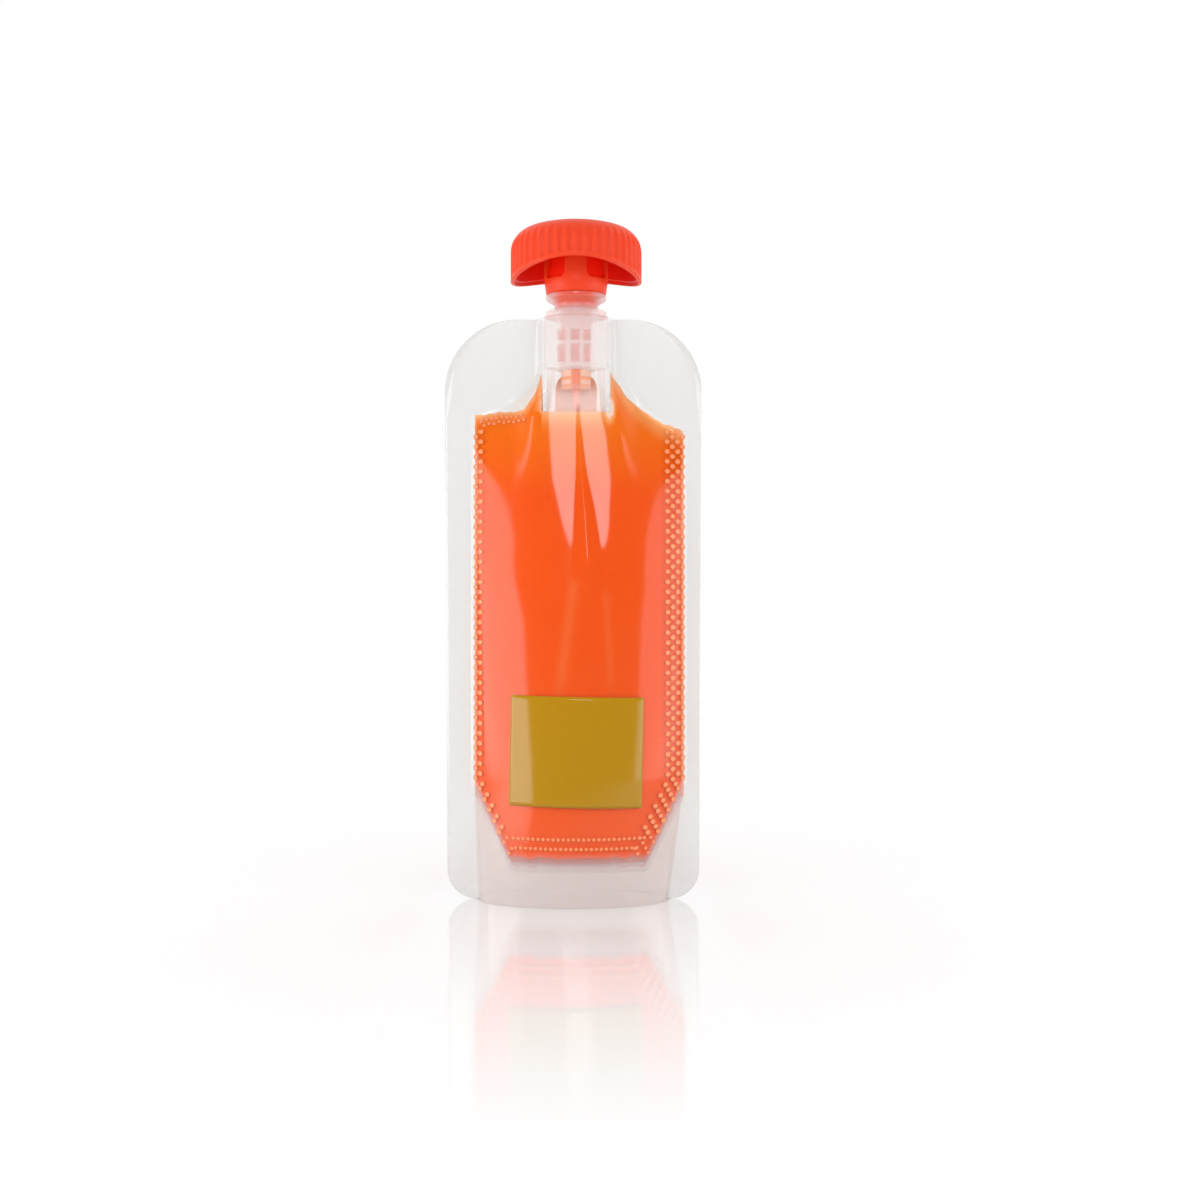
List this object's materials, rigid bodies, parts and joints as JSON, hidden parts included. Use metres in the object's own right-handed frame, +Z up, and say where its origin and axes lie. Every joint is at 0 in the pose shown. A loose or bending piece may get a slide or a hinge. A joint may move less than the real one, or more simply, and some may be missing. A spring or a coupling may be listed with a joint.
{
  "type": "spouted squeeze pouch",
  "caption": "Filled squeeze pouch for baby food: clear welded film on an oval gusset foot, a moulded spout, and a large ribbed screw cap that turns off along its thread.",
  "frame": {"origin": "on the table under the middle of the pouch's foot", "axes": "+Z up the pouch to the cap, front film with the printed patch towards -Y, +X to the right seen from the front"},
  "size_m": [0.0732, 0.0374, 0.1924],
  "materials": {
    "clear_film": "gloss",
    "puree": "satin",
    "printed_label": "satin",
    "spout_plastic": "satin",
    "liner_foam": "matte",
    "cap_plastic": "satin"
  },
  "bodies": {
    "pouch": {"front_film": "clear_film", "back_film": "clear_film", "base_gusset": "clear_film", "puree": "puree", "label_patch": "printed_label", "spout": "spout_plastic"},
    "liner": {"cap_liner": "liner_foam"},
    "cap": {"screw_cap": "cap_plastic"}
  },
  "joints": [
    {"name": "cap_rise", "type": "slide", "parent": "pouch", "child": "liner", "axis": [0, 0, 1], "range_m": [0, 0.0181]},
    {"name": "cap_turn", "type": "hinge", "parent": "liner", "child": "cap", "pos_m": [0.0008, 0, 0.178], "axis": [0, 0, 1], "range_deg": [0, 1080]}
  ],
  "couplings": [
    {"joint": "cap_rise", "follows": "cap_turn", "m_per_rad": 0.00095493}
  ]
}
